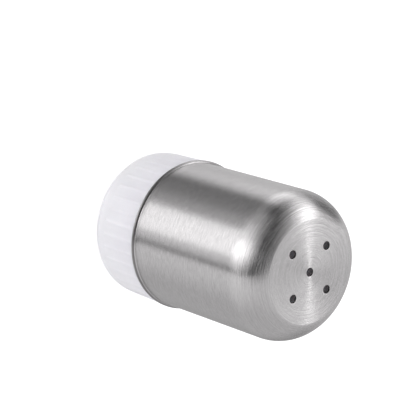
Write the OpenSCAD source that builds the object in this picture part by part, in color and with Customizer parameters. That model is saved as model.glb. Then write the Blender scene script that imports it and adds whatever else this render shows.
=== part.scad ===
// Table spice shaker that stands on its filling end.
// A drawn steel shell with sprinkle holes screws down over a white plastic jar base.
// Millimetres, +Z up. The origin is the centre of the foot, on the surface it stands on.

/* [Steel shell] */
// Outside diameter of the drawn wall
shell_d = 50; // [44:0.5:60]
// Height from the rim to the flat sprinkle face
shell_h = 59; // [48:0.5:80]
// Thickness of the sheet
sheet_t = 0.5; // [0.3:0.1:0.8]
// Outside radius of the shoulder between wall and face
shoulder_r = 12.3; // [8.5:0.1:14]
// Width of the shoulder, seen from above, from the wall to the flat face
shoulder_w = 7.9; // [6:0.1:8.3]
// Outside radius of the soft crease round the flat face
crease_r = 1.5; // [1:0.1:3]
// How far the rolled lip stands out from the wall
lip_out = 0.8; // [0.6:0.1:1.2]
// Thickness of the rolled lip
lip_d = 0.9; // [0.7:0.05:1]

/* [Sprinkle holes] */
// Diameter of each hole
hole_d = 2.8; // [1.5:0.1:4]
// Diameter of the circle that the outer holes stand on
hole_circle_d = 20.7; // [12:0.1:24]
// Number of holes around the middle one
outer_holes = 4; // [3:1:6]

/* [Jar base] */
// Height of the jar base under the steel rim
base_h = 22.6; // [18:0.1:32]
// How far the wall stands out from the steel wall, at its top
base_proud = 0.45; // [0.1:0.05:0.5]
// How much the wall draws in down to the foot, on the radius
base_draft = 0.3; // [0.1:0.05:0.8]
// Radius of the rounded edge round the foot
base_edge_r = 4.8; // [2.5:0.1:6]
// Thickness of the wall
base_wall = 1.5; // [1.2:0.1:2]
// Thickness of the floor
floor_t = 1.6; // [1.2:0.1:2.5]
// Depth of the hollow inside the foot ring
foot_hollow = 0.8; // [0.4:0.1:1.5]
// Width of the foot ring
foot_ring_w = 3; // [2:0.5:5]

/* [Grip ribs] */
// Number of ribs round the jar base
rib_count = 36; // [24:1:48]
// Width of a rib at the wall
rib_w = 1; // [0.8:0.1:1.4]
// Height of a rib above the wall
rib_out = 0.2; // [0.1:0.05:0.3]
// Plain wall between the rounded foot edge and the ribs
rib_foot_gap = 2.4; // [1:0.1:5]
// Plain wall between the ribs and the top edge
rib_top_gap = 0.4; // [0.2:0.1:1]

/* [Screw thread] */
// Rise of the thread in one turn
thread_pitch = 3.6; // [3.4:0.1:5]
// Turns of each thread
thread_turns = 2; // [1.25:0.25:2.5]
// Height of each thread above its wall
thread_depth = 1.1; // [0.8:0.1:1.3]
// Width of each thread at its wall
thread_root_w = 1.7; // [1.4:0.1:1.8]
// Width of each thread at its crest
thread_crest_w = 0.7; // [0.5:0.1:0.9]
// Turn over which each end of a thread runs out, in degrees
thread_run_out = 30; // [20:5:60]
// Thickness of the neck
neck_wall = 1.6; // [1.2:0.1:2.2]
// Plain neck above its thread
neck_top_plain = 1.6; // [1.4:0.1:3]
// Plain neck below its thread, from the seal's seat
neck_foot_plain = 3.2; // [2.8:0.1:5]

/* [Thread collar] */
// Thickness of the collar behind its thread
collar_wall = 1.6; // [1.2:0.1:2.4]
// Plain bore above and below the collar's thread
collar_plain = 1.3; // [1.2:0.1:2.5]
// Chamfer at the mouth of the collar
collar_chamfer = 0.5; // [0.2:0.1:0.6]

/* [Seal ring] */
// Thickness of the seal
seal_t = 1.5; // [1:0.1:2]
// Width of the seal
seal_w = 1.9; // [1.5:0.1:2]

/* [Clearances] */
// Gap between thread crests and the wall that they face
thread_gap = 0.3; // [0.2:0.05:0.4]
// Gap between thread flanks when the shell is screwed down
flank_gap = 0.3; // [0.2:0.05:0.5]
// Gap on each side of the seal in its seat
seal_gap = 0.3; // [0.2:0.05:0.4]
// Gap between the steel rim and the top of the jar base
rim_gap = 0.3; // [0.2:0.05:0.5]

/* [Hidden] */

round_fn = 128;
rib_fn = 24;
thread_steps = 36;
weld = 0.3;
cut_over = 1;

shell_r = shell_d / 2;
shell_in_r = shell_r - sheet_t;
// The lip is a bead with its middle on this radius, and the sheet bends out to it inside.
lip_mid_r = shell_r + lip_out - lip_d / 2;
lip_bend_r = lip_mid_r - shell_in_r;
rim_z = base_h + rim_gap;
top_z = rim_z + shell_h;
face_r = shell_r - shoulder_w;
// The crease and the shoulder are arcs that touch, with these centres over the rim.
crease_z = shell_h - crease_r;
shoulder_x = shell_r - shoulder_r;
shoulder_z = crease_z - sqrt(pow(shoulder_r - crease_r, 2) - pow(face_r - shoulder_x, 2));
crease_turn = atan2(face_r - shoulder_x, crease_z - shoulder_z);

collar_in_r = shell_in_r - collar_wall;
neck_r = collar_in_r - thread_gap - thread_depth;
mouth_r = neck_r - neck_wall;
seat_z = rim_z - seal_t;

thread_len = thread_turns * thread_pitch;
neck_thread_z = seat_z + neck_foot_plain;
neck_top_z = neck_thread_z + thread_len + neck_top_plain;
collar_thread_z = rim_z + collar_plain;
collar_h = thread_len + 2 * collar_plain;
// Both threads are as wide as each other, so their widths at one radius add up to this.
flank_slope = (thread_root_w - thread_crest_w) / thread_depth;
widths_sum = thread_root_w + thread_crest_w - flank_slope * thread_gap;
// The collar's thread lies this far under the neck's, which then holds the shell down.
thread_under = widths_sum / 2 + flank_gap;
collar_thread_turn = 360 * (collar_thread_z - neck_thread_z + thread_under) / thread_pitch;

base_top_r = shell_r + base_proud;
base_foot_r = base_top_r - base_draft;
cavity_r = base_foot_r - base_wall;
cavity_floor_z = foot_hollow + floor_t;
cavity_top_z = seat_z - base_wall;
cavity_edge_r = base_edge_r - base_wall;
seal_in_r = neck_r + seal_gap;
seal_out_r = seal_in_r + seal_w;
seat_r = seal_out_r + seal_gap;

// A rib is a bar of this radius, sunk in the wall until rib_out of it stands proud.
rib_bar_r = (rib_w * rib_w / 4 + rib_out * rib_out) / (2 * rib_out);
wall_lean = atan(base_draft / (base_h - base_edge_r));
rib_low_z = base_edge_r + rib_foot_gap + rib_bar_r;
rib_len = base_h - rib_top_gap - rib_bar_r - rib_low_z;

function wall_r_at(z) = base_foot_r + base_draft * (z - base_edge_r) / (base_h - base_edge_r);

// Share of the full thread height at a turn of a degrees along a thread
function run_out(a) = min(1, a / thread_run_out, (360 * thread_turns - a) / thread_run_out);

// Four corners of a thread's section: out is 1 for a thread on a neck, -1 for one in a bore
function thread_section(a, wall_r, start_turn, out) = [
    for (p = [[-weld, thread_root_w], [run_out(a) * (thread_depth + weld) - weld, thread_crest_w],
              [run_out(a) * (thread_depth + weld) - weld, -thread_crest_w], [-weld, -thread_root_w]])
        let (r = wall_r + out * p[0], turn = a + start_turn)
            [r * cos(turn), r * sin(turn), thread_pitch * a / 360 + p[1] / 2]
];

// A quarter section whose top outer corner is rounded
module rounded_top(r, h, corner_r) {
    square([r, h - corner_r]);
    square([r - corner_r, h]);
    translate([r - corner_r, h - corner_r])
        intersection() {
            circle(corner_r, $fn = round_fn);
            square(corner_r);
        }
}

// Moulded thread that climbs anticlockwise, seen from above
module thread(wall_r, start_turn, out) {
    steps = ceil(thread_turns * thread_steps);
    step_a = 360 * thread_turns / steps;
    end_step = 0.05;
    sections = [for (i = [0:steps])
        thread_section(max(end_step, min(i * step_a, 360 * thread_turns - end_step)),
                       wall_r, start_turn, out)];
    around = [for (i = [0:steps - 1], k = [0:3])
        let (a = 4 * i + k, b = 4 * i + (k + 1) % 4)
            each [[a, b, b + 4], [a, b + 4, a + 4]]];
    last = 4 * steps;
    ends = [[3, 2, 1], [3, 1, 0], [last, last + 1, last + 2], [last, last + 2, last + 3]];
    all_faces = concat(around, ends);
    polyhedron(points = [for (s = sections) each s],
               faces = out < 0 ? all_faces : [for (f = all_faces) [f[2], f[1], f[0]]]);
}

module grip_rib() {
    translate([wall_r_at(rib_low_z) + rib_out - rib_bar_r, 0, rib_low_z])
        rotate([0, wall_lean, 0]) {
            cylinder(r = rib_bar_r, h = rib_len, $fn = rib_fn);
            sphere(rib_bar_r, $fn = rib_fn);
            translate([0, 0, rib_len]) sphere(rib_bar_r, $fn = rib_fn);
        }
}

// Half section of the jar base's outside
module base_outside() {
    polygon([[0, base_edge_r], [base_foot_r, base_edge_r], [base_top_r, base_h], [0, base_h]]);
    square([base_foot_r - base_edge_r, base_edge_r]);
    translate([base_foot_r - base_edge_r, base_edge_r])
        intersection() {
            circle(base_edge_r, $fn = round_fn);
            translate([0, -base_edge_r]) square(base_edge_r);
        }
}

// Half section of what is hollow in it: the seal's seat, the mouth, the jar and the foot
module base_hollow() {
    translate([0, seat_z]) square([seat_r, base_h]);
    translate([0, cavity_top_z - cut_over]) square([mouth_r, base_h]);
    translate([0, cavity_top_z])
        mirror([0, 1])
            rounded_top(cavity_r, cavity_top_z - cavity_floor_z, cavity_edge_r);
    square([base_foot_r - base_edge_r - foot_ring_w, foot_hollow]);
}

// Half section of the neck, which ends in a full round lip
module neck_section() {
    translate([mouth_r, cavity_top_z]) square([neck_wall, neck_top_z - neck_wall / 2 - cavity_top_z]);
    translate([mouth_r + neck_wall / 2, neck_top_z - neck_wall / 2])
        circle(neck_wall / 2, $fn = round_fn);
}

module base_cup() {
    color([0.94, 0.94, 0.96]) {
        difference() {
            union() {
                rotate_extrude($fn = round_fn) base_outside();
                for (i = [0:rib_count - 1]) rotate(i * 360 / rib_count) grip_rib();
            }
            rotate_extrude($fn = round_fn) base_hollow();
        }
        rotate_extrude($fn = round_fn) neck_section();
        translate([0, 0, neck_thread_z]) thread(neck_r, 0, 1);
    }
}

module seal_ring() {
    color([0.82, 0.84, 0.86])
        translate([0, 0, seat_z])
            difference() {
                cylinder(r = seal_out_r, h = seal_t, $fn = round_fn);
                translate([0, 0, -cut_over])
                    cylinder(r = seal_in_r, h = seal_t + 2 * cut_over, $fn = round_fn);
            }
}

module thread_collar() {
    color([0.90, 0.90, 0.92]) {
        translate([0, 0, rim_z])
            difference() {
                cylinder(r = shell_in_r, h = collar_h, $fn = round_fn);
                translate([0, 0, -cut_over])
                    cylinder(r = collar_in_r, h = collar_h + 2 * cut_over, $fn = round_fn);
                cylinder(r1 = collar_in_r + collar_chamfer, r2 = collar_in_r,
                         h = collar_chamfer, $fn = round_fn);
            }
        translate([0, 0, collar_thread_z]) thread(collar_in_r, collar_thread_turn, -1);
    }
}

// Half section inside the drawn sheet's surface, or inset from it, with the rim at height 0
module shell_outline(inset) {
    reach = shell_h;
    difference() {
        union() {
            square([shell_r - inset, shoulder_z]);
            square([shoulder_x, shell_h - inset]);
            translate([shoulder_x, shoulder_z])
                intersection() {
                    circle(shoulder_r - inset, $fn = round_fn);
                    square([shoulder_r, shell_h - inset - shoulder_z]);
                }
        }
        // The corner between face and shoulder goes, down to the arc of the crease
        translate([face_r, crease_z])
            difference() {
                polygon([[0, 0], [0, reach], [reach * sin(crease_turn), reach * cos(crease_turn)]]);
                circle(crease_r - inset, $fn = round_fn);
            }
    }
}

// Half section of the sheet with its lip, which is rolled outward and pressed to a solid bead
module shell_section() {
    difference() {
        union() {
            shell_outline(0);
            square([lip_mid_r, lip_d / 2]);
            translate([lip_mid_r, lip_d / 2]) circle(d = lip_d, $fn = round_fn);
        }
        shell_outline(sheet_t);
        difference() {
            square([lip_mid_r, lip_bend_r]);
            translate([lip_mid_r, lip_bend_r]) circle(lip_bend_r, $fn = round_fn);
        }
    }
}

module sprinkle_hole() {
    translate([0, 0, top_z - sheet_t - cut_over])
        cylinder(d = hole_d, h = sheet_t + 2 * cut_over, $fn = round_fn);
}

module steel_shell() {
    color([0.76, 0.76, 0.75])
        difference() {
            translate([0, 0, rim_z]) rotate_extrude($fn = round_fn) shell_section();
            sprinkle_hole();
            for (i = [0:outer_holes - 1])
                rotate(i * 360 / outer_holes)
                    translate([hole_circle_d / 2, 0, 0]) sprinkle_hole();
        }
}

base_cup();
seal_ring();
thread_collar();
steel_shell();
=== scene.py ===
"""Looks of a table spice shaker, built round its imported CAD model.

A drawn steel shell with sprinkle holes stands screwed over a ribbed white jar base. Each piece is a
surface of two parameters, worked out as whole arrays in millimetres and brought to metres when its
mesh is made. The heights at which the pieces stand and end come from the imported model.
"""

import logging
import math
from dataclasses import dataclass
from enum import Enum

import bpy
import numpy as np
from mathutils import Matrix, Vector


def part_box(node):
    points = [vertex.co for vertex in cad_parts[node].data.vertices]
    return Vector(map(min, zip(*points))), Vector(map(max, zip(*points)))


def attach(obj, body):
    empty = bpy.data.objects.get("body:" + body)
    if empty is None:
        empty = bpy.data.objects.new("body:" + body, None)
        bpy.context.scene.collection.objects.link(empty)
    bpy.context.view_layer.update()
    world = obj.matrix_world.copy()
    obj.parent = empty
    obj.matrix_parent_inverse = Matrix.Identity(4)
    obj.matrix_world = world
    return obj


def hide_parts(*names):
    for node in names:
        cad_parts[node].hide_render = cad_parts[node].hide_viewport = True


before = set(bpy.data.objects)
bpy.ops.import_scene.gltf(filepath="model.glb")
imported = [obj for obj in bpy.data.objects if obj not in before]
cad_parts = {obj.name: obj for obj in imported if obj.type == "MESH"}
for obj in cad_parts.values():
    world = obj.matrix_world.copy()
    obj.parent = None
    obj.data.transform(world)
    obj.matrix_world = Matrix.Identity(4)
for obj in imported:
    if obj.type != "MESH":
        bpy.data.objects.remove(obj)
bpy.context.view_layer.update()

MM = 0.001
WELD_GRAIN = 1e-5  # points closer than this, in millimetres, become one
MERIDIAN = "meridian"  # mesh attribute: how far along its section a point lies, in millimetres
NOISE_SPAN = (0.35, 0.65)  # where most values of a noise lie
MIDDLE = 0.5  # of a noise, and of a mix of two colours
PLAIN_WHITE = (1.0, 1.0, 1.0, 1.0)

Point = tuple[float, float]
Triple = tuple[float, float, float]
Socket = bpy.types.NodeSocket

log = logging.getLogger("shaker")


class Body(Enum):
    """The moving bodies of the shaker."""

    BASE = "base"
    SEAL = "seal"
    SHELL = "shell"


class Slot(Enum):
    """The material slots that the record names."""

    STEEL = "steel"
    WHITE_PLASTIC = "white_plastic"
    COLLAR_PLASTIC = "collar_plastic"
    SILICONE = "silicone"


class Side(Enum):
    """Which side of a round wall a thread stands on."""

    OUTSIDE = 1
    INSIDE = -1


# ---------------------------------------------------------------------------------------------
# Sections: arrays of (radius, height) points
# ---------------------------------------------------------------------------------------------


def line(start: Point, end: Point, steps: int) -> np.ndarray:
    """Points at equal steps on a straight line, without its first point.

    Args:
        start: Radius and height where the line starts.
        end: Radius and height where it ends.
        steps: Number of steps.

    Returns:
        An array of shape (steps, 2).
    """
    share = np.linspace(0.0, 1.0, steps + 1)[1:, None]
    return np.asarray(start) * (1 - share) + np.asarray(end) * share


def arc(centre: Point, radius: float, start: float, end: float, steps: int) -> np.ndarray:
    """Points on an arc, without its first point: centre + radius * (cos a, sin a).

    Args:
        centre: Radius and height of the arc's centre.
        radius: Radius of the arc.
        start: Angle of its start in degrees, from outward, towards up.
        end: Angle of its end in degrees.
        steps: Number of steps.

    Returns:
        An array of shape (steps, 2).
    """
    turn = np.radians(np.linspace(start, end, steps + 1)[1:])
    return np.asarray(centre) + radius * np.stack([np.cos(turn), np.sin(turn)], axis=1)


def section(*runs: np.ndarray) -> np.ndarray:
    """One section from its runs of points, in order, anticlockwise round the solid."""
    return np.concatenate([np.atleast_2d(run) for run in runs])


def arc_length(points: np.ndarray) -> np.ndarray:
    """Distance along a row of points from its first one, at each of them."""
    steps = np.linalg.norm(np.diff(points, axis=0), axis=1)
    return np.concatenate([[0.0], np.cumsum(steps)])


def around(count: int) -> np.ndarray:
    """Angles of a full turn in equal steps, in radians, without the repeated last one."""
    return np.linspace(0.0, 2 * math.pi, count, endpoint=False)


# ---------------------------------------------------------------------------------------------
# Meshes
# ---------------------------------------------------------------------------------------------


class Skin:
    """Grids of points that are welded where they meet and become one closed mesh."""

    def __init__(self) -> None:
        """Starts without any grid."""
        self._points: list[np.ndarray] = []
        self._along: list[np.ndarray] = []
        self._quads: list[np.ndarray] = []
        self._count = 0

    def add(self, grid: np.ndarray, along: np.ndarray, closed: bool = False) -> None:
        """Adds a grid, whose faces look to (step across) x (step down).

        Args:
            grid: Points of shape (rows, columns, 3).
            along: Place of each row or point on the meridian, of shape (rows,) or (rows, columns).
            closed: Whether the last column joins the first.
        """
        rows, columns = grid.shape[:2]
        number = self._count + np.arange(rows * columns).reshape(rows, columns)
        after = np.roll(number, -1, axis=1)
        if not closed:
            number, after = number[:, :-1], after[:, :-1]
        quads = np.stack([number[:-1], after[:-1], after[1:], number[1:]], axis=-1)
        self._quads.append(quads.reshape(-1, 4))
        self._points.append(grid.reshape(-1, 3))
        flat = np.broadcast_to(along if along.ndim == 2 else along[:, None], (rows, columns))
        self._along.append(flat.reshape(-1))
        self._count += rows * columns

    def revolve(
        self, profile: np.ndarray, turns: np.ndarray, along: np.ndarray | None = None
    ) -> None:
        """Adds a surface of revolution: (r cos a, r sin a, z) for each profile point and angle.

        Args:
            profile: Section points, of shape (rows, 2), anticlockwise round the solid.
            turns: Angles in radians, anticlockwise seen from above.
            along: Place of each profile point on the meridian, or None for its arc length.
        """
        radius, height = profile[:, :1], profile[:, 1:]
        tall = np.broadcast_to(height, (len(profile), len(turns)))
        grid = np.stack([radius * np.cos(turns), radius * np.sin(turns), tall], axis=-1)
        self.add(grid, arc_length(profile) if along is None else along, closed=True)

    def make(self, name: str) -> bpy.types.Object:
        """Welds the grids and makes the object, at the origin and in metres.

        Args:
            name: Name of the piece.

        Returns:
            The new object, linked to the scene.
        """
        points = np.concatenate(self._points)
        quads = np.concatenate(self._quads)
        keys = np.round(points / WELD_GRAIN).astype(np.int64)
        _, first, same = np.unique(keys, axis=0, return_index=True, return_inverse=True)
        quads = same.reshape(-1)[quads]
        kept = quads != np.roll(quads, 1, axis=1)
        sizes = kept.sum(axis=1)
        solid = sizes >= 3
        corners = quads[solid][kept[solid]]
        sizes = sizes[solid]

        mesh = bpy.data.meshes.new(name)
        mesh.vertices.add(len(first))
        mesh.vertices.foreach_set("co", (points[first] * MM).astype(np.float32).ravel())
        mesh.loops.add(len(corners))
        mesh.loops.foreach_set("vertex_index", corners.astype(np.int32))
        mesh.polygons.add(len(sizes))
        mesh.polygons.foreach_set("loop_start", (np.cumsum(sizes) - sizes).astype(np.int32))
        mesh.polygons.foreach_set("use_smooth", np.ones(len(sizes), bool))
        place = mesh.attributes.new(MERIDIAN, "FLOAT", "POINT")
        place.data.foreach_set("value", np.concatenate(self._along)[first].astype(np.float32))
        mesh.update(calc_edges=True)
        mesh.validate()
        piece = bpy.data.objects.new(name, mesh)
        bpy.context.scene.collection.objects.link(piece)
        return piece


@dataclass(frozen=True)
class Thread:
    """A moulded screw thread, right-handed, that thins out at both ends."""

    wall_r: float
    foot_z: float
    side: Side
    start_turn: float = 0.0
    pitch: float = 3.6
    turns: float = 2.0
    depth: float = 1.1
    root_w: float = 1.7
    crest_w: float = 0.7
    run_out: float = 30.0
    weld: float = 0.3
    crest_round: float = 0.2
    crest_squash: float = 0.6
    crest_steps: int = 4
    end_height: float = 0.002
    steps_a_turn: int = 96

    def _outline(self) -> np.ndarray:
        """Half the crest's outline, with a rounded corner that is narrower than it is high.

        Returns:
            Rows of (share of the depth, half width), from the flank to the middle of the crest.
        """
        flank = (self.root_w - self.crest_w) / 2 / self.depth
        soft = self.crest_round
        squashed = soft * self.crest_squash
        corner = np.radians(np.linspace(0.0, 90.0, self.crest_steps + 1))
        high = self.depth - soft + soft * np.sin(corner)
        lean = flank * (self.depth - high)
        wide = self.crest_w / 2 - squashed + squashed * np.cos(corner) + lean
        return np.stack([high / self.depth, wide], axis=1)

    def add_to(self, skin: Skin) -> None:
        """Adds the thread to a skin.

        The section is carried up a helix: at the angle a its points stand at the wall's radius plus
        or minus their height, and at pitch * a / full turn plus their place across. The height
        grows from nothing to full over the run-out at each end, and the ends close on a point.

        Args:
            skin: The skin of the piece that the thread is moulded on.
        """
        full = 360.0 * self.turns
        angle = np.linspace(0.0, full, int(self.turns * self.steps_a_turn) + 1)
        rise = np.clip(np.minimum(angle, full - angle) / self.run_out, 0.0, 1.0)
        rise = np.maximum(rise * rise * (3 - 2 * rise), self.end_height)
        half = self._outline()
        shares = np.concatenate([[0.0], half[:, 0], half[::-1, 0], [0.0]])
        widths = np.concatenate([[self.root_w / 2], half[:, 1], -half[::-1, 1], [-self.root_w / 2]])
        sunk = np.concatenate([[1.0], np.zeros(2 * len(half)), [1.0]])
        height = rise[:, None] * (shares * self.depth) - self.weld * sunk
        radius = self.wall_r + self.side.value * height
        turn = np.radians(angle + self.start_turn)[:, None]
        up = self.foot_z + self.pitch * angle[:, None] / 360.0 + widths
        grid = np.stack([radius * np.cos(turn), radius * np.sin(turn), up], axis=-1)
        first, last = (
            np.broadcast_to(end.mean(axis=1, keepdims=True), end.shape)
            for end in (grid[:1], grid[-1:])
        )
        capped = np.concatenate([first, grid, last])
        along = np.concatenate([angle[:1], angle, angle[-1:]]) * self.pitch / 360.0
        if self.side is Side.INSIDE:
            capped = capped[:, ::-1]
        skin.add(capped, along, closed=True)


# ---------------------------------------------------------------------------------------------
# Finishes
# ---------------------------------------------------------------------------------------------


@dataclass
class Nodes:
    """A material's or world's node tree, with short ways to add and join nodes."""

    tree: bpy.types.NodeTree

    def add(self, kind: str, **settings: object) -> bpy.types.Node:
        """Adds a node.

        Args:
            kind: Its type without the ShaderNode in front.
            settings: Its properties by name.

        Returns:
            The new node.
        """
        node = self.tree.nodes.new("ShaderNode" + kind)
        for name, value in settings.items():
            setattr(node, name, value)
        return node

    def join(self, source: Socket | float | Triple, target: Socket) -> None:
        """Links a socket to another, or sets it.

        Args:
            source: The socket that it follows, or the number or triple that it holds.
            target: The socket.
        """
        if isinstance(source, Socket):
            self.tree.links.new(source, target)
        else:
            target.default_value = source

    def math(
        self, operation: str, first: Socket | float, second: Socket | float = 0.0,
        third: Socket | float = 0.0,
    ) -> Socket:
        """Adds a Math node.

        Args:
            operation: What it works out.
            first: Its first value.
            second: Its second value, where it takes one.
            third: Its third value, where it takes one.

        Returns:
            The result.
        """
        node = self.add("Math", operation=operation)
        for value, socket in zip((first, second, third), node.inputs):
            self.join(value, socket)
        return node.outputs[0]

    def vector(
        self, operation: str, first: Socket, second: Socket | float | Triple | None = None
    ) -> Socket:
        """Adds a Vector Math node.

        Args:
            operation: What it works out.
            first: Its first vector.
            second: Its second vector, the factor of a scaling, or None.

        Returns:
            The result.
        """
        node = self.add("VectorMath", operation=operation)
        self.join(first, node.inputs[0])
        if second is not None:
            self.join(second, node.inputs["Scale" if operation == "SCALE" else 1])
        return node.outputs[0]

    def place(self) -> tuple[Socket, Socket, Socket]:
        """Reads the point on the object.

        Returns:
            Its X, Y and Z, in metres.
        """
        apart = self.add("SeparateXYZ")
        self.join(self.add("TexCoord").outputs["Object"], apart.inputs[0])
        return tuple(apart.outputs)

    def remap(
        self, value: Socket, low: float, high: float, to_low: float, to_high: float,
        smooth: bool = False,
    ) -> Socket:
        """Brings a range of values to another range, clamped.

        Args:
            value: The value.
            low: Where its range starts.
            high: Where its range ends.
            to_low: What the start becomes.
            to_high: What the end becomes.
            smooth: Whether the change eases in and out.

        Returns:
            The new value.
        """
        kind = "SMOOTHSTEP" if smooth else "LINEAR"
        node = self.add("MapRange", interpolation_type=kind, clamp=True)
        for number, socket in zip((low, high, to_low, to_high), node.inputs[1:5]):
            socket.default_value = number
        self.join(value, node.inputs[0])
        return node.outputs[0]

    def noise(
        self, vector: Socket, scale: float, detail: float, roughness: float = 0.5
    ) -> Socket:
        """Adds a noise in space.

        Args:
            vector: Where it is read.
            scale: How fast it changes.
            detail: How many finer noises are added to it.
            roughness: How strong they are.

        Returns:
            The noise, from about 0 to 1.
        """
        node = self.add("TexNoise", noise_dimensions="3D")
        node.inputs["Scale"].default_value = scale
        node.inputs["Detail"].default_value = detail
        node.inputs["Roughness"].default_value = roughness
        self.join(vector, node.inputs["Vector"])
        return node.outputs["Fac"]

    def tint(self, share: Socket, low: Triple, high: Triple) -> Socket:
        """Mixes two colours.

        Args:
            share: How much of the second one, from 0 to 1.
            low: The first colour.
            high: The second colour.

        Returns:
            The mixed colour.
        """
        node = self.add("Mix", data_type="RGBA")
        self.join(share, node.inputs[0])
        node.inputs[6].default_value = (*low, 1.0)
        node.inputs[7].default_value = (*high, 1.0)
        return node.outputs[2]

    def relief(self, height: Socket, distance: float, shader: bpy.types.Node) -> None:
        """Bends a shader's normals by a height.

        Args:
            height: The height, in units of the distance.
            distance: The distance, in metres.
            shader: The shader.
        """
        bump = self.add("Bump")
        bump.inputs["Strength"].default_value = 1.0
        bump.inputs["Distance"].default_value = distance
        self.join(height, bump.inputs["Height"])
        self.join(bump.outputs[0], shader.inputs["Normal"])


@dataclass(frozen=True)
class Finish:
    """What the finishes share: a name, the record's slot and the making of the material."""

    name: str
    slot: Slot

    def material(self) -> bpy.types.Material:
        """Makes the material and dresses its shader.

        Returns:
            The material.
        """
        made = bpy.data.materials.new(self.name)
        made.use_nodes = True
        made.node_tree.nodes.clear()
        nodes = Nodes(made.node_tree)
        shader = nodes.add("BsdfPrincipled")
        nodes.join(shader.outputs[0], nodes.add("OutputMaterial").inputs["Surface"])
        self.dress(nodes, shader)
        return made

    def dress(self, nodes: Nodes, shader: bpy.types.Node) -> None:
        """Sets the shader's sockets; each finish has its own way."""
        raise NotImplementedError(self.name)

    def put_on(self, piece: bpy.types.Object) -> None:
        """Gives a piece this material.

        Args:
            piece: The piece.
        """
        piece.data.materials.clear()
        piece.data.materials.append(self.material())


@dataclass(frozen=True)
class Grain:
    """A noise drawn out round the axis: units a radian, units a millimetre, and its finer part."""

    reach: float
    a_mm: float
    detail: float = 1.0
    roughness: float = 0.5


@dataclass(frozen=True)
class Brushing:
    """What the steel's colour, sheen and relief share: marks and zones from 0 to 1, and places."""

    line: Socket
    dash: Socket
    band: Socket
    groove: Socket
    turned: Socket
    bend: Socket
    place: tuple[Socket, Socket, Socket]
    along: Socket


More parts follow.
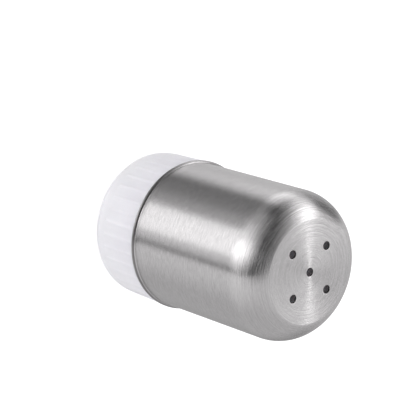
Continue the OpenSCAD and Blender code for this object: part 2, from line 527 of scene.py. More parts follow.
@dataclass(frozen=True)
class BrushedSteel(Finish):
    """Drawn stainless steel, brushed round its axis, with turned rings on the flat face.

    Heights and radii are in metres, and relief heights in millimetres.
    """

    dark: Triple = (0.626, 0.611, 0.618)
    light: Triple = (0.704, 0.688, 0.696)
    roughness: float = 0.25
    stretch: float = 1.0
    stretch_turn: float = 0.25
    lines: Grain = Grain(reach=1.6, a_mm=4.8, roughness=0.6)
    dashes: Grain = Grain(reach=12.0, a_mm=2.9)
    bands: Grain = Grain(reach=0.7, a_mm=0.35, detail=2.0)
    grooves: Grain = Grain(reach=0.35, a_mm=1.9, detail=0.0)
    line_share: float = 0.70
    line_swing: float = 0.08
    line_height: float = 0.06
    dash_tint: float = 0.38
    dash_turned: float = -0.18
    groove_from: float = 0.85
    groove_tint: float = 0.8
    groove_height: float = 0.018
    turned_rise: Point = (0.066, 0.078)
    turned_smoothness: float = 0.015
    wall_share: float = 0.25
    bend_rise: Point = (0.0685, 0.0725)
    bend_fall: Point = (0.0790, 0.0817)
    bend_smoothness: float = 0.02
    bend_calm: float = 0.6
    bend_relief: float = 0.7
    lip_rise: Point = (0.0236, 0.0237)
    lip_roughness: float = 0.28
    # share of the colour left on the lip: painted shade where the shell meets the base
    lip_painted_shade: float = 0.56
    inside_mm: Point = (60.0, 61.0)
    inside_glow: float = 0.0195
    bores_r: float = 0.0160
    bores_top: float = 0.08187
    # share of the colour left in the bores and under the face: painted shade in the recesses
    bores_painted_shade: float = 0.03

    def _grain(self, nodes: Nodes, along: Socket, grain: Grain) -> Socket:
        """Noise at (reach cos a, reach sin a, units * place on the meridian), a round the axis.

        Args:
            nodes: The tree to add to.
            along: The place on the meridian, in millimetres.
            grain: The noise.

        Returns:
            The noise, from about 0 to 1.
        """
        where = nodes.add("TexCoord").outputs["Object"]
        unit = nodes.vector("NORMALIZE", nodes.vector("MULTIPLY", where, (1.0, 1.0, 0.0)))
        tall = nodes.add("CombineXYZ")
        nodes.join(nodes.math("MULTIPLY", along, grain.a_mm), tall.inputs["Z"])
        there = nodes.vector("ADD", nodes.vector("SCALE", unit, grain.reach), tall.outputs[0])
        return nodes.noise(there, 1.0, grain.detail, grain.roughness)

    def _brushing(self, nodes: Nodes) -> Brushing:
        """The marks that brushing and turning leave, and the zones that they differ in.

        The turning grows from the wall's share over the shoulder to the flat face. The bend is the
        shoulder by itself. The grooves are the creases of a slow noise n, 1 - |2 n - 1|, and as
        strong as the turning.

        Args:
            nodes: The tree to add to.

        Returns:
            The marks and zones.
        """
        along = nodes.add("Attribute", attribute_name=MERIDIAN).outputs["Fac"]
        place = nodes.place()
        height = place[2]
        turned = nodes.remap(height, *self.turned_rise, self.wall_share, 1.0, smooth=True)
        slow = self._grain(nodes, along, self.grooves)
        fold = nodes.math("ABSOLUTE", nodes.math("MULTIPLY_ADD", slow, 2.0, -1.0))
        crease = nodes.remap(nodes.math("SUBTRACT", 1.0, fold), self.groove_from, 1.0, 0.0, 1.0)
        bend_in = nodes.remap(height, *self.bend_rise, 0.0, 1.0, smooth=True)
        bend_out = nodes.remap(height, *self.bend_fall, 1.0, 0.0, smooth=True)
        return Brushing(
            line=self._grain(nodes, along, self.lines),
            dash=self._grain(nodes, along, self.dashes),
            band=self._grain(nodes, along, self.bands),
            groove=nodes.math("MULTIPLY", crease, turned),
            turned=turned,
            bend=nodes.math("MULTIPLY", bend_in, bend_out),
            place=place,
            along=along,
        )

    def _colour(self, nodes: Nodes, marks: Brushing) -> Socket:
        """Two greys mixed by lines, bands and grooves, with dashes that make the sheen ragged.

        The lip's edge is darker, a painted shade where the shell meets the base. Painted shade also
        makes the bores of the holes and the underside of the face nearly black: the points near the
        axis and just lower than the flat face.

        Args:
            nodes: The tree to add to.
            marks: The marks and zones.

        Returns:
            The colour.
        """
        x, y, height = marks.place
        mixed = nodes.math("MULTIPLY", marks.line, self.line_share)
        mixed = nodes.math("MULTIPLY_ADD", marks.band, 1.0 - self.line_share, mixed)
        swing = nodes.remap(mixed, *NOISE_SPAN, -MIDDLE, MIDDLE)
        swing = nodes.math("MULTIPLY_ADD", swing, marks.turned, MIDDLE)
        streak = nodes.math("MULTIPLY_ADD", marks.groove, -self.groove_tint, swing)
        speck = nodes.math("MULTIPLY_ADD", marks.turned, self.dash_turned, self.dash_tint)
        off = nodes.math("SUBTRACT", marks.dash, MIDDLE)
        speck = nodes.math("MULTIPLY_ADD", off, speck, 1.0)
        # Painted shade: the lip is darker where the shell meets the base.
        lip = nodes.remap(height, *self.lip_rise, self.lip_painted_shade, 1.0, smooth=True)
        # Painted shade: the bores of the holes and the underside of the face are made nearly black.
        across = nodes.math("MULTIPLY_ADD", y, y, nodes.math("MULTIPLY", x, x))
        near = nodes.math("LESS_THAN", nodes.math("SQRT", across), self.bores_r)
        bore = nodes.math("MULTIPLY", near, nodes.math("LESS_THAN", height, self.bores_top))
        bore_shade_factor = nodes.math("MULTIPLY_ADD", bore, self.bores_painted_shade - 1.0, 1.0)
        level = nodes.math("MULTIPLY", nodes.math("MULTIPLY", lip, bore_shade_factor), speck)
        return nodes.vector("SCALE", nodes.tint(streak, self.dark, self.light), level)

    def _roughness(self, nodes: Nodes, marks: Brushing) -> Socket:
        """Roughness that follows the lines, lower where the steel is turned or bent.

        The lip is a little rougher than the wall.

        Args:
            nodes: The tree to add to.
            marks: The marks and zones.

        Returns:
            The roughness.
        """
        level = nodes.math("MULTIPLY_ADD", marks.turned, -self.turned_smoothness, self.roughness)
        level = nodes.math("MULTIPLY_ADD", marks.bend, -self.bend_smoothness, level)
        calmed = -self.bend_calm * self.line_swing
        swing = nodes.math("MULTIPLY_ADD", marks.bend, calmed, self.line_swing)
        off = nodes.math("SUBTRACT", MIDDLE, marks.line)
        level = nodes.math("MULTIPLY_ADD", off, swing, level)
        share = self.lip_roughness / self.roughness
        lip = nodes.remap(marks.place[2], *self.lip_rise, share, 1.0, smooth=True)
        return nodes.math("MULTIPLY", level, lip)

    def _height(self, nodes: Nodes, marks: Brushing) -> Socket:
        """Relief of the lines and grooves, in millimetres, calmer on the bend.

        Args:
            nodes: The tree to add to.
            marks: The marks and zones.

        Returns:
            The height.
        """
        line = nodes.math("MULTIPLY", marks.line, marks.turned)
        relief = nodes.math("MULTIPLY", line, self.line_height)
        relief = nodes.math("MULTIPLY_ADD", marks.groove, -self.groove_height, relief)
        fade = nodes.math("MULTIPLY_ADD", marks.bend, self.bend_relief - 1.0, 1.0)
        return nodes.math("MULTIPLY", relief, fade)

    def dress(self, nodes: Nodes, shader: bpy.types.Node) -> None:
        """Colour, roughness and relief from the brushing, and a sheen stretched across it.

        A very weak glow inside stands for the light that comes in through the milky jar.

        Args:
            nodes: The material's nodes.
            shader: Its shader.
        """
        marks = self._brushing(nodes)
        nodes.join(self._colour(nodes, marks), shader.inputs["Base Color"])
        nodes.join(self._roughness(nodes, marks), shader.inputs["Roughness"])
        glow = nodes.remap(marks.along, *self.inside_mm, self.inside_glow, 0.0)
        nodes.join(glow, shader.inputs["Emission Strength"])
        shader.inputs["Metallic"].default_value = 1.0
        shader.inputs["Anisotropic"].default_value = self.stretch
        shader.inputs["Anisotropic Rotation"].default_value = self.stretch_turn
        tangent = nodes.add("Tangent", direction_type="RADIAL", axis="Z")
        nodes.join(tangent.outputs[0], shader.inputs["Tangent"])
        nodes.relief(self._height(nodes, marks), MM, shader)


@dataclass(frozen=True)
class MilkyPlastic(Finish):
    """Moulded polypropylene or silicone that lets a little light in."""

    colour: Triple = (0.945, 0.925, 0.985)
    shade: Triple = (0.755, 0.738, 0.79)
    # share of painted shade at the rim, growing from the foot
    rim_painted_shade: float = 0.0
    rim_z: float = 0.0226
    roughness: float = 0.35
    roughness_swing: Point = (-0.04, 0.06)
    refraction: float = 1.49
    depth_mm: float = 3.0
    depth_tint: Triple = (1.0, 0.95, 0.95)
    glow: float = 0.9
    cloud_scale: float = 90.0
    cloud_detail: float = 3.0
    grain_scale: float = 2600.0
    grain_detail: float = 2.0
    grain_span: Point = (0.3, 0.7)
    grain_height: float = 0.004

    def dress(self, nodes: Nodes, shader: bpy.types.Node) -> None:
        """Slight clouding of the colour, a fine moulded grain and some light under the skin.

        Painted shade darkens the colour to its shade towards the rim, for the neck and the shell
        that stand behind the milky wall.

        Args:
            nodes: The material's nodes.
            shader: Its shader.
        """
        where = nodes.add("TexCoord").outputs["Object"]
        cloud = nodes.noise(where, self.cloud_scale, self.cloud_detail)
        grain = nodes.noise(where, self.grain_scale, self.grain_detail)
        # Painted shade: the colour darkens towards the rim, for the neck and shell behind the wall.
        rim_painted_shade = nodes.remap(nodes.place()[2], 0.0, self.rim_z, 0.0, self.rim_painted_shade)
        cloud = nodes.remap(cloud, *NOISE_SPAN, 0.0, 1.0)
        cloud_and_rim_shade = nodes.math("MULTIPLY_ADD", cloud, 1.0 - self.rim_painted_shade, rim_painted_shade)
        nodes.join(nodes.tint(cloud_and_rim_shade, self.colour, self.shade), shader.inputs["Base Color"])
        smoothest, roughest = (self.roughness + swing for swing in self.roughness_swing)
        wander = nodes.remap(grain, *self.grain_span, smoothest, roughest)
        nodes.join(wander, shader.inputs["Roughness"])
        shader.inputs["IOR"].default_value = self.refraction
        shader.inputs["Subsurface Weight"].default_value = self.glow
        shader.inputs["Subsurface Radius"].default_value = self.depth_tint
        shader.inputs["Subsurface Scale"].default_value = self.depth_mm * MM
        nodes.relief(grain, self.grain_height * MM, shader)


STEEL = BrushedSteel("brushed_steel", Slot.STEEL)
# the white base gets painted shade towards its rim
WHITE = MilkyPlastic("milky_polypropylene", Slot.WHITE_PLASTIC, rim_painted_shade=0.75)
NATURAL = MilkyPlastic(
    "natural_polypropylene",
    Slot.COLLAR_PLASTIC,
    colour=(0.86, 0.86, 0.87),
    shade=(0.83, 0.83, 0.85),
    roughness=0.5,
)
SILICONE = MilkyPlastic(
    "clear_silicone",
    Slot.SILICONE,
    colour=(0.80, 0.82, 0.84),
    shade=(0.77, 0.79, 0.82),
    roughness=0.45,
    depth_mm=1.5,
    glow=0.4,
)


def hand_over(piece: bpy.types.Object, finish: Finish, body: Body, *nodes: str) -> None:
    """Dresses a piece, lets it ride on its body and puts it in place of its CAD nodes.

    Args:
        piece: The finished mesh object.
        finish: Its finish.
        body: The body that it moves with.
        nodes: The CAD nodes that it stands for.
    """
    finish.put_on(piece)
    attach(piece, body.value)
    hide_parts(*nodes)
    log.info("%s rides on %s, %d faces", piece.name, body.value, len(piece.data.polygons))


# ---------------------------------------------------------------------------------------------
# Sub-assemblies
# ---------------------------------------------------------------------------------------------


def span(node: str) -> Point:
    """Foot and top of a CAD node at rest, in millimetres, to a hundredth."""
    low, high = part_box(node)
    return round(low.z / MM, 2), round(high.z / MM, 2)


@dataclass
class SteelShell:
    """Drawn steel shell: lip, straight wall, round shoulder, crease and flat face with holes."""

    rim_z: float
    top_z: float
    wall_r: float = 25.0
    sheet: float = 0.5
    shoulder_r: float = 12.3
    crease_r: float = 1.5
    face_r: float = 17.1
    lip_r: float = 25.8
    lip_h: float = 0.7
    lip_round: float = 0.12
    lip_fillet: float = 0.5
    hole_r: float = 1.4
    hole_circle_r: float = 10.35
    hole_edge: float = 0.1
    edge_steps: int = 4
    quarter_steps: int = 56
    eye_r: float = 5.4
    plate_r: float = 15.4
    rings: int = 9
    ring_spread: float = 0.7

    @property
    def height(self) -> float:
        """Height of the flat face above the lip's foot."""
        return self.top_z - self.rim_z

    def _dome(self, inset: float) -> tuple[np.ndarray, float]:
        """Shoulder and crease from the wall up to the flat face.

        Args:
            inset: How far inside the outer skin they lie.

        Returns:
            The section's points after the wall's top, and the height where the shoulder starts.
        """
        crease_z = self.height - self.crease_r
        across = self.face_r - (self.wall_r - self.shoulder_r)
        lift = math.sqrt((self.shoulder_r - self.crease_r) ** 2 - across ** 2)
        start_z = crease_z - lift
        meet = math.degrees(math.atan2(lift, across))
        middle = (self.wall_r - self.shoulder_r, start_z)
        shoulder = arc(middle, self.shoulder_r - inset, 0.0, meet, 44)
        crease = arc((self.face_r, crease_z), self.crease_r - inset, meet, 90.0, 10)
        return section(shoulder, crease), start_z

    def _wall_section(self) -> np.ndarray:
        """Section from the underside of the face, down inside, round the lip and up outside.

        The lip is a flattened bead. The sheet bends out to its foot inside, its outer corners are
        round, and a small fillet joins its top to the wall.

        Returns:
            The section's points, with heights above the lip's foot.
        """
        inner_r = self.wall_r - self.sheet
        bend = self.lip_h
        side_x = self.lip_r - self.lip_round
        top_lip = self.lip_h - self.lip_round
        fillet_x = self.wall_r + self.lip_fillet
        fillet_z = self.lip_h + self.lip_fillet
        inner, start_z = self._dome(self.sheet)
        outer, _ = self._dome(0.0)
        inner_wall_top = (inner_r, start_z)
        under = (self.plate_r, self.height - self.sheet)
        return section(
            under,
            line(under, (self.face_r, under[1]), 2),
            inner[::-1][1:],
            inner_wall_top,
            line(inner_wall_top, (inner_r, bend), 16),
            arc((inner_r + bend, bend), bend, 180.0, 270.0, 8),
            line((inner_r + bend, 0.0), (side_x, 0.0), 2),
            arc((side_x, self.lip_round), self.lip_round, -90.0, 0.0, 12),
            line((self.lip_r, self.lip_round), (self.lip_r, top_lip), 3),
            arc((side_x, top_lip), self.lip_round, 0.0, 90.0, 12),
            line((side_x, self.lip_h), (fillet_x, self.lip_h), 3),
            arc((fillet_x, fillet_z), self.lip_fillet, 270.0, 180.0, 20),
            line((self.wall_r, fillet_z), (self.wall_r, start_z), 24),
            outer,
            line((self.face_r, self.height), (self.plate_r, self.height), 3),
        )

    def _hole_rings(self, centre: np.ndarray, turns: np.ndarray, edge: np.ndarray) -> np.ndarray:
        """Grid from an outline down into one hole, as deep as the middle of the sheet.

        The flat part is ruled between the outline and a circle round the hole, closer near it.
        The edge is a quarter round, and the bore goes straight down.

        Args:
            centre: Centre of the hole in the plane, of shape (2,).
            turns: Angle round the hole of each column.
            edge: Outline points in the plane, of shape (columns, 2).

        Returns:
            Points of shape (rows, columns, 3), with heights below the flat face.
        """
        spoke = np.stack([np.cos(turns), np.sin(turns)], axis=1)
        soft_r = self.hole_r + self.hole_edge
        share = (np.linspace(0.0, 1.0, self.rings + 1) ** self.ring_spread)[:, None, None]
        flat = edge * (1 - share) + (centre + soft_r * spoke) * share
        bend = np.radians(np.linspace(0.0, 90.0, self.edge_steps + 1)[1:])[:, None, None]
        rolled = centre + (soft_r - self.hole_edge * np.sin(bend)) * spoke
        bore = centre + self.hole_r * spoke
        plane = np.concatenate([flat, rolled, bore[None]])
        roll = -self.hole_edge * (1 - np.cos(bend.ravel()))
        drop = np.concatenate([np.zeros(len(flat)), roll, [-self.sheet / 2]])
        tall = np.broadcast_to(drop[:, None, None], (*plane.shape[:2], 1))
        return np.concatenate([plane, tall], axis=2)

    def _plate(self) -> list[np.ndarray]:
        """The flat face: a disc round the middle hole, and one plate round each outer hole.

        Returns:
            Grids of points, with heights below the flat face. They meet at shared points.
        """
        count = self.quarter_steps
        turns = around(4 * count)
        rim = np.stack([np.cos(turns), np.sin(turns)], axis=1)
        grids = [self._hole_rings(np.zeros(2), turns, self.eye_r * rim)]
        grids[0] = np.concatenate([grids[0], grids[0][:, :1]], axis=1)
        step = np.linspace(0.0, 1.0, count + 1)[:-1]
        swing = math.pi / 4
        for quarter in range(4):
            mid = quarter * math.pi / 2
            angle = np.concatenate([
                mid - swing + 2 * swing * step, np.full(count, mid + swing),
                mid + swing - 2 * swing * step, np.full(count, mid - swing),
            ])
            span = self.plate_r - self.eye_r
            radius = np.concatenate([
                np.full(count, self.plate_r), self.plate_r - span * step,
                np.full(count, self.eye_r), self.eye_r + span * step,
            ])
            edge = radius[:, None] * np.stack([np.cos(angle), np.sin(angle)], axis=1)
            centre = self.hole_circle_r * np.array([math.cos(mid), math.sin(mid)])
            away = np.unwrap(np.arctan2(edge[:, 1] - centre[1], edge[:, 0] - centre[0]))
            even = away[0] + 2 * math.pi * np.arange(4 * count) / (4 * count)
            grid = self._hole_rings(centre, (away + even) / 2, edge)
            grids.append(np.concatenate([grid, grid[:, :1]], axis=1))
        return grids

    def build(self) -> bpy.types.Object:
        """Makes the shell in one closed mesh.

        Returns:
            The piece.
        """
        skin = Skin()
        wall = self._wall_section()
        full = arc_length(wall)
        to_axis = full[-1] + self.plate_r
        turns = around(4 * self.quarter_steps) - math.pi / 4
        skin.revolve(wall + [0.0, self.rim_z], turns, full)
        for grid in self._plate():
            along = to_axis - np.hypot(grid[..., 0], grid[..., 1])
            top = grid + [0.0, 0.0, self.top_z]
            skin.add(top, along)
            under = grid * [1.0, 1.0, -1.0] + [0.0, 0.0, self.top_z - self.sheet]
            skin.add(under[:, ::-1], along[:, ::-1])
        return skin.make("steel_shell_skin")


@dataclass
class JarBase:
    """White jar base: foot, ribbed wall, seal's seat, neck with its thread, and the jar inside."""

    seat_z: float
    neck_z: float
    top_z: float = 22.6
    top_r: float = 25.45
    foot_r: float = 25.15
    foot_round: float = 4.8
    foot_ring: float = 3.0
    hollow: float = 0.8
    seat_r: float = 24.0
    neck_r: float = 21.5
    neck_foot_plain: float = 3.2
    mouth_r: float = 19.9
    jar_r: float = 23.65
    jar_floor: float = 2.4
    jar_top: float = 19.9
    jar_round: float = 3.3
    edge: float = 0.3
    seat_edge: float = 0.15
    seat_corner: float = 0.2
    neck_fillet: float = 0.25
    mouth_edge: float = 0.4
    rib_count: int = 36
    rib_half: float = 0.85
    rib_out: float = 0.2
    rib_low: float = 7.2
    rib_high: float = 22.2
    rib_end: float = 0.9
    rib_inner_r: float = 24.5
    rib_margin_low: float = 0.5
    rib_margin_high: float = 0.2
    rib_steps: int = 8
    gap_steps: int = 4

    @property
    def thread(self) -> Thread:
        """The thread outside the neck."""
        return Thread(self.neck_r, self.seat_z + self.neck_foot_plain, Side.OUTSIDE)

    def _wall_heights(self) -> np.ndarray:
        """Heights of the wall's points, close together where the ribs start and end.

        Returns:
            The heights, without the first one.
        """
        stops = (
            (self.foot_round, 0),
            (self.rib_low - self.rib_margin_low, 3),
            (self.rib_low + self.rib_end + self.rib_margin_low, 11),
            (self.rib_high - self.rib_end - self.rib_margin_high, 7),
            (self.top_z - self.edge, 8),
        )
        return np.concatenate([
            np.linspace(low, high, steps + 1)[1:]
            for (low, _), (high, steps) in zip(stops, stops[1:])
        ])

    def _section(self) -> np.ndarray:
        """Section from the middle of the foot, out, up the wall, over the neck and into the jar.

        Returns:
            The section's points.
        """
        ring_r = self.foot_r - self.foot_round
        inner_r = ring_r - self.foot_ring
        soft = self.edge
        heights = self._wall_heights()
        wall = np.stack([self._wall_r(heights), heights], axis=1)
        top_r = float(self._wall_r(np.array(self.top_z)))
        rim_r, rim_z = self.seat_r + self.seat_edge, self.top_z - self.seat_edge
        corner_r, corner_z = self.seat_r - self.seat_corner, self.seat_z + self.seat_corner
        root_r, root_z = self.neck_r + self.neck_fillet, self.seat_z + self.neck_fillet
        neck_mid = (self.neck_r + self.mouth_r) / 2
        lip = (self.neck_r - self.mouth_r) / 2
        lip_z = self.neck_z - lip
        under_r, under_z = self.mouth_r + self.mouth_edge, self.jar_top + self.mouth_edge
        roof_r, roof_z = self.jar_r - soft, self.jar_top - soft
        floor_r, floor_z = self.jar_r - self.jar_round, self.jar_floor + self.jar_round
        return section(
            (0.0, self.hollow),
            line((0.0, self.hollow), (inner_r - soft, self.hollow), 6),
            arc((inner_r - soft, self.hollow - soft), soft, 90.0, 0.0, 4),
            arc((inner_r + soft, soft), soft, 180.0, 270.0, 4),
            line((inner_r + soft, 0.0), (ring_r, 0.0), 3),
            arc((ring_r, self.foot_round), self.foot_round, -90.0, 0.0, 20),
            wall,
            arc((top_r - soft, self.top_z - soft), soft, 0.0, 90.0, 5),
            line((top_r - soft, self.top_z), (rim_r, self.top_z), 2),
            arc((rim_r, rim_z), self.seat_edge, 90.0, 180.0, 3),
            line((self.seat_r, rim_z), (self.seat_r, corner_z), 2),
            arc((corner_r, corner_z), self.seat_corner, 0.0, -90.0, 3),
            line((corner_r, self.seat_z), (root_r, self.seat_z), 3),
            arc((root_r, root_z), self.neck_fillet, 270.0, 180.0, 4),
            line((self.neck_r, root_z), (self.neck_r, lip_z), 10),
            arc((neck_mid, lip_z), lip, 0.0, 180.0, 16),
            line((self.mouth_r, lip_z), (self.mouth_r, under_z), 10),
            arc((under_r, under_z), self.mouth_edge, 180.0, 270.0, 4),
            line((under_r, self.jar_top), (roof_r, self.jar_top), 3),
            arc((roof_r, roof_z), soft, 90.0, 0.0, 4),
            line((self.jar_r, roof_z), (self.jar_r, floor_z), 8),
            arc((floor_r, floor_z), self.jar_round, 0.0, -90.0, 12),
            line((floor_r, self.jar_floor), (0.0, self.jar_floor), 6),
        )

    def _wall_r(self, height: np.ndarray) -> np.ndarray:
        """Radius of the plain wall, which leans out evenly from the foot's round to the top."""
        share = (height - self.foot_round) / (self.top_z - self.foot_round)
        return self.foot_r + (self.top_r - self.foot_r) * share

    def _turns(self) -> np.ndarray:
        """Angles round the base, close together on each rib and wide between them.

        Returns:
            The angles in radians, of all ribs in turn.
        """
        pitch = 2 * math.pi / self.rib_count
        on_rib = np.linspace(-1.0, 1.0, self.rib_steps + 1) * self.rib_half / self.top_r
        between = np.linspace(on_rib[-1], pitch + on_rib[0], self.gap_steps + 1)[1:-1]
        one = np.concatenate([on_rib, between])
        return (pitch * np.arange(self.rib_count)[:, None] + one).ravel()

    def _rib(self, turns: np.ndarray, profile: np.ndarray) -> np.ndarray:
        """How far the ribs stand out at each profile point and angle.

        A rib is a round swell, 1 - u^2 squared for u from -1 to 1 across it, that falls to
        nothing over its ends.

        Args:
            turns: Angles round the base.
            profile: Section points.

        Returns:
            Distances of shape (rows, columns).
        """
        pitch = 2 * math.pi / self.rib_count
        off = (turns + pitch / 2) % pitch - pitch / 2
        across = np.clip(np.abs(off) * self.top_r / self.rib_half, 0.0, 1.0)
        swell = (1 - across ** 2) ** 2
        radius, height = profile.T
        into = np.minimum(height - self.rib_low, self.rib_high - height) / self.rib_end
        into = np.clip(into, 0.0, 1.0)
        ends = np.sqrt(1 - (1 - into) ** 2) * (radius > self.rib_inner_r)
        return self.rib_out * ends[:, None] * swell

    def build(self) -> bpy.types.Object:
        """Makes the base with its neck thread.

        Returns:
            The piece.
        """
        profile = self._section()
        turns = self._turns()
        radius = profile[:, :1] + self._rib(turns, profile)
        height = np.broadcast_to(profile[:, 1:], radius.shape)
        grid = np.stack([radius * np.cos(turns), radius * np.sin(turns), height], axis=-1)
        skin = Skin()
        skin.add(grid, arc_length(profile), closed=True)
        self.thread.add_to(skin)
        return skin.make("jar_base")


@dataclass
class ThreadCollar:
    """Plastic collar in the mouth of the shell, with the thread that turns on the neck."""

    foot_z: float
    top_z: float
    outer_r: float = 24.46
    inner_r: float = 22.9
    plain: float = 1.3
    thread_turn: float = 96.4
    chamfer: float = 0.5
    soft: float = 0.2
    steps: int = 192

    @property
    def thread(self) -> Thread:
        """The thread inside the bore."""
        return Thread(self.inner_r, self.foot_z + self.plain, Side.INSIDE, self.thread_turn)

    def _section(self) -> np.ndarray:
        """Closed section: a plain wall with soft edges and a chamfered mouth.

        Returns:
            The section's points, of which the last is the first again.
        """
        low, high, soft = self.foot_z, self.top_z, self.soft
        mouth = line((self.inner_r, low + self.chamfer), (self.inner_r + self.chamfer, low), 3)
        return section(
            mouth,
            line((self.inner_r + self.chamfer, low), (self.outer_r - soft, low), 2),
            arc((self.outer_r - soft, low + soft), soft, -90.0, 0.0, 4),
            line((self.outer_r, low + soft), (self.outer_r, high - soft), 6),
            arc((self.outer_r - soft, high - soft), soft, 0.0, 90.0, 4),
            line((self.outer_r - soft, high), (self.inner_r + soft, high), 2),
            arc((self.inner_r + soft, high - soft), soft, 90.0, 180.0, 4),
            line((self.inner_r, high - soft), (self.inner_r, low + self.chamfer), 10),
            mouth[:1],
        )

    def build(self) -> bpy.types.Object:
        """Makes the collar with its thread.

        Returns:
            The piece.
        """
        skin = Skin()
        skin.revolve(self._section(), around(self.steps))
        self.thread.add_to(skin)
        return skin.make("thread_collar_ring")


@dataclass
class SealRing:
    """Flat silicone ring on the seat round the neck."""

    foot_z: float
    top_z: float
    inner_r: float = 21.8
    outer_r: float = 23.7
    soft: float = 0.25
    steps: int = 160

    def build(self) -> bpy.types.Object:
        """Makes the ring from a rectangle with round corners.

        Returns:
            The piece.
        """
        low, high, soft = self.foot_z, self.top_z, self.soft
        corners = [
            arc((self.outer_r - soft, low + soft), soft, -90.0, 0.0, 5),
            arc((self.outer_r - soft, high - soft), soft, 0.0, 90.0, 5),
            arc((self.inner_r + soft, high - soft), soft, 90.0, 180.0, 5),
            arc((self.inner_r + soft, low + soft), soft, 180.0, 270.0, 5),
        ]
        ring = section(*corners)
        skin = Skin()
        skin.revolve(section(ring, ring[:1]), around(self.steps))
        return skin.make("seal_washer")


# ---------------------------------------------------------------------------------------------
# Studio
# ---------------------------------------------------------------------------------------------


@dataclass(frozen=True)
class Card:
    """A card of the surround that the metal mirrors: a soft-edged patch, placed in degrees."""

    azimuth: float
    half_width: float
    side_blur: float
    elevation: float
    half_height: float
    end_blur: float
    level: float

    def hang(
        self, nodes: Nodes, azimuth: Socket, elevation: Socket, behind: Socket | float
    ) -> Socket:
        """Lays the card over what is behind it.

        Args:
            nodes: The world's nodes.
            azimuth: Azimuth of the direction, in degrees.
            elevation: Its elevation, in degrees.
            behind: The level behind the card.

        Returns:
            The level with the card in front.
        """
        turned = nodes.math("WRAP", nodes.math("SUBTRACT", azimuth, self.azimuth), 180.0, -180.0)
        lift = nodes.math("SUBTRACT", elevation, self.elevation)
        side, end = (
            nodes.remap(
                nodes.math("ABSOLUTE", off), half - blur / 2, half + blur / 2, 1.0, 0.0, smooth=True
            )
            for off, half, blur in (
                (turned, self.half_width, self.side_blur),
                (lift, self.half_height, self.end_blur),
            )
        )
        cover = nodes.math("MULTIPLY", side, end)
        change = nodes.math("SUBTRACT", self.level, behind)
        return nodes.math("MULTIPLY_ADD", change, cover, behind)


# A separate program fitted these numbers, and they are rounded. A level of 1 is white.
CARDS = (
    Card(266, 68, 32, 47, 44, 4, 0.04),
    Card(278, 26, 45, -2, 22, 3, 2.23),
    Card(203, 43, 31, 32, 11, 54, 3.46),
    Card(131, 4, 39, 33, 19, 33, 1.76),
    Card(153, 16, 18, -3, 20, 11, 0),
    Card(197, 16, 13, -22, 14, 50, 2.13),
    Card(230, 41, 59, 24, 42, 45, 0.02),
    Card(217, 64, 28, -59, 12, 12, 0.1),
    Card(283, 21, 6, -56, 40, 18, 1.02),
    Card(323, 4, 7, -53, 29, 3, 0.01),
    Card(223, 19, 23, -45, 15, 14, 0.22),
    Card(254, 19, 29, 5, 8, 28, 0.97),
    Card(140, 16, 23, 49, 3, 10, 3.17),
    Card(291, 10, 22, -22, 10, 25, 2.55),
    Card(358, 35, 3, -5, 36, 42, 0.85),
    Card(262, 14, 9, -73, 13, 19, 2.31),
    Card(243, 7, 10, -8, 14, 6, 0.46),
    Card(211, 8, 26, 41, 9, 49, 0.46),
    Card(153, 12, 6, -21, 11, 21, 0.53),
    Card(56, 35, 27, -34, 43, 26, 0.11),
    Card(39, 43, 56, -8, 52, 26, 0.55),
)


@dataclass(frozen=True)
class Lamp:
    """A soft rectangular lamp that looks at the shaker."""

    name: str
    azimuth: float
    elevation: float
    distance: float
    size: float
    power: float

    def place(self, target: Vector) -> None:
        """Adds the lamp to the scene, aimed at a point.

        Args:
            target: The point, in metres.
        """
        light = bpy.data.lights.new(self.name, "AREA")
        light.energy = self.power
        light.size = self.size
        lamp = bpy.data.objects.new(self.name, light)
        turn, lift = math.radians(self.azimuth), math.radians(self.elevation)
        flat = math.cos(lift)
        away = Vector((math.cos(turn) * flat, math.sin(turn) * flat, math.sin(lift)))
        lamp.location = target + away * self.distance
        lamp.rotation_mode = "QUATERNION"
        lamp.rotation_quaternion = away.to_track_quat("Z", "Y")
        lamp.visible_glossy = False
        lamp.visible_camera = False
        bpy.context.scene.collection.objects.link(lamp)


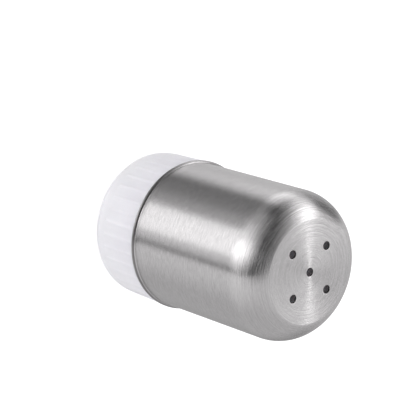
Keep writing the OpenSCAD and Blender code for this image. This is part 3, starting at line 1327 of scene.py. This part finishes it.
@dataclass
class Studio:
    """White floor, surround, lamp and camera.

    The metal mirrors the surround alone, so neither the floor nor the lamp shows to glossy rays.
    """

    floor_half: float = 3.0
    floor_colour: Triple = (0.86, 0.86, 0.87)
    floor_glow: float = 0.40
    fill: float = 1.03
    surround: float = 0.67
    cards: tuple[Card, ...] = CARDS
    lamp: Lamp = Lamp(
        "key_softbox", azimuth=-65.0, elevation=20.0, distance=0.9, size=0.6, power=0.85
    )
    lamp_target: Triple = (0.0, 0.0, 0.04)
    camera_at: Triple = (0.14647, -0.39408, 0.48736)
    camera_right: Triple = (-0.52868, 0.55381, 0.64327)
    camera_up: Triple = (-0.81065, -0.55413, -0.18917)
    lens: float = 165.17
    sensor: float = 36.0
    clip: Point = (0.01, 20.0)

    def build_floor(self) -> None:
        """Lays a white floor that keeps the shaker's shadow and stands behind it as plain white."""
        half = self.floor_half
        corners = [(-half, -half, 0.0), (half, -half, 0.0), (half, half, 0.0), (-half, half, 0.0)]
        mesh = bpy.data.meshes.new("studio_floor")
        mesh.from_pydata(corners, [], [(0, 1, 2, 3)])
        floor = bpy.data.objects.new("studio_floor", mesh)
        bpy.context.scene.collection.objects.link(floor)
        made = bpy.data.materials.new("studio_floor")
        made.use_nodes = True
        made.node_tree.nodes.clear()
        nodes = Nodes(made.node_tree)
        paper = nodes.add("BsdfDiffuse")
        paper.inputs["Color"].default_value = (*self.floor_colour, 1.0)
        glow = nodes.add("Emission")
        glow.inputs["Color"].default_value = PLAIN_WHITE
        seen = nodes.add("LightPath").outputs["Is Camera Ray"]
        nodes.join(nodes.math("MULTIPLY", seen, self.floor_glow), glow.inputs["Strength"])
        both = nodes.add("AddShader")
        nodes.join(paper.outputs[0], both.inputs[0])
        nodes.join(glow.outputs[0], both.inputs[1])
        nodes.join(both.outputs[0], nodes.add("OutputMaterial").inputs["Surface"])
        mesh.materials.append(made)
        floor.visible_glossy = False

    def build_world(self) -> None:
        """Sets the world: white to the camera, the cards to the metal, a plain fill to the rest."""
        world = bpy.data.worlds.new("studio")
        bpy.context.scene.world = world
        world.use_nodes = True
        world.node_tree.nodes.clear()
        nodes = Nodes(world.node_tree)
        path = nodes.add("LightPath")
        apart = nodes.add("SeparateXYZ")
        nodes.join(nodes.add("TexCoord").outputs["Generated"], apart.inputs[0])
        x, y, z = apart.outputs
        azimuth = nodes.math("DEGREES", nodes.math("ARCTAN2", y, x))
        elevation = nodes.math("DEGREES", nodes.math("ARCSINE", z))
        seen = self.surround
        for card in self.cards:
            seen = card.hang(nodes, azimuth, elevation, seen)
        mirrored = path.outputs["Is Glossy Ray"]
        glossy = nodes.math("MULTIPLY", mirrored, seen)
        other = nodes.math("MULTIPLY", nodes.math("SUBTRACT", 1.0, mirrored), self.fill)
        lit = nodes.math("ADD", glossy, other)
        level = nodes.math("MAXIMUM", lit, path.outputs["Is Camera Ray"])
        back = nodes.add("Background")
        back.inputs["Color"].default_value = PLAIN_WHITE
        nodes.join(level, back.inputs["Strength"])
        nodes.join(back.outputs[0], nodes.add("OutputWorld").inputs["Surface"])
        world.cycles.sampling_method = "NONE"

    def build_camera(self) -> None:
        """Places the camera by its own three axes, as columns of its matrix."""
        right, up = Vector(self.camera_right), Vector(self.camera_up)
        back = right.cross(up).normalized()
        data = bpy.data.cameras.new("camera")
        data.sensor_width = self.sensor
        data.lens = self.lens
        data.clip_start, data.clip_end = self.clip
        camera = bpy.data.objects.new("camera", data)
        turn = Matrix((right, up, back)).transposed()
        camera.matrix_world = Matrix.Translation(self.camera_at) @ turn.to_4x4()
        bpy.context.scene.collection.objects.link(camera)
        bpy.context.scene.camera = camera

    def build(self) -> None:
        """Builds the whole studio and sets how the picture is shown."""
        self.build_camera()
        self.build_floor()
        self.build_world()
        self.lamp.place(Vector(self.lamp_target))
        bpy.context.scene.view_settings.view_transform = "Standard"


def main() -> None:
    """Builds the shaker from the foot up, then the studio round it."""
    seat_z, _ = span("seal_ring")
    _, neck_z = span("base_cup")
    hand_over(JarBase(seat_z, neck_z).build(), WHITE, Body.BASE, "base_cup")
    hand_over(SealRing(*span("seal_ring")).build(), SILICONE, Body.SEAL, "seal_ring")
    hand_over(ThreadCollar(*span("thread_collar")).build(), NATURAL, Body.SHELL, "thread_collar")
    hand_over(SteelShell(*span("steel_shell")).build(), STEEL, Body.SHELL, "steel_shell")
    Studio().build()


if __name__ == "__main__":
    logging.basicConfig(level=logging.INFO, format="%(message)s")
    main()
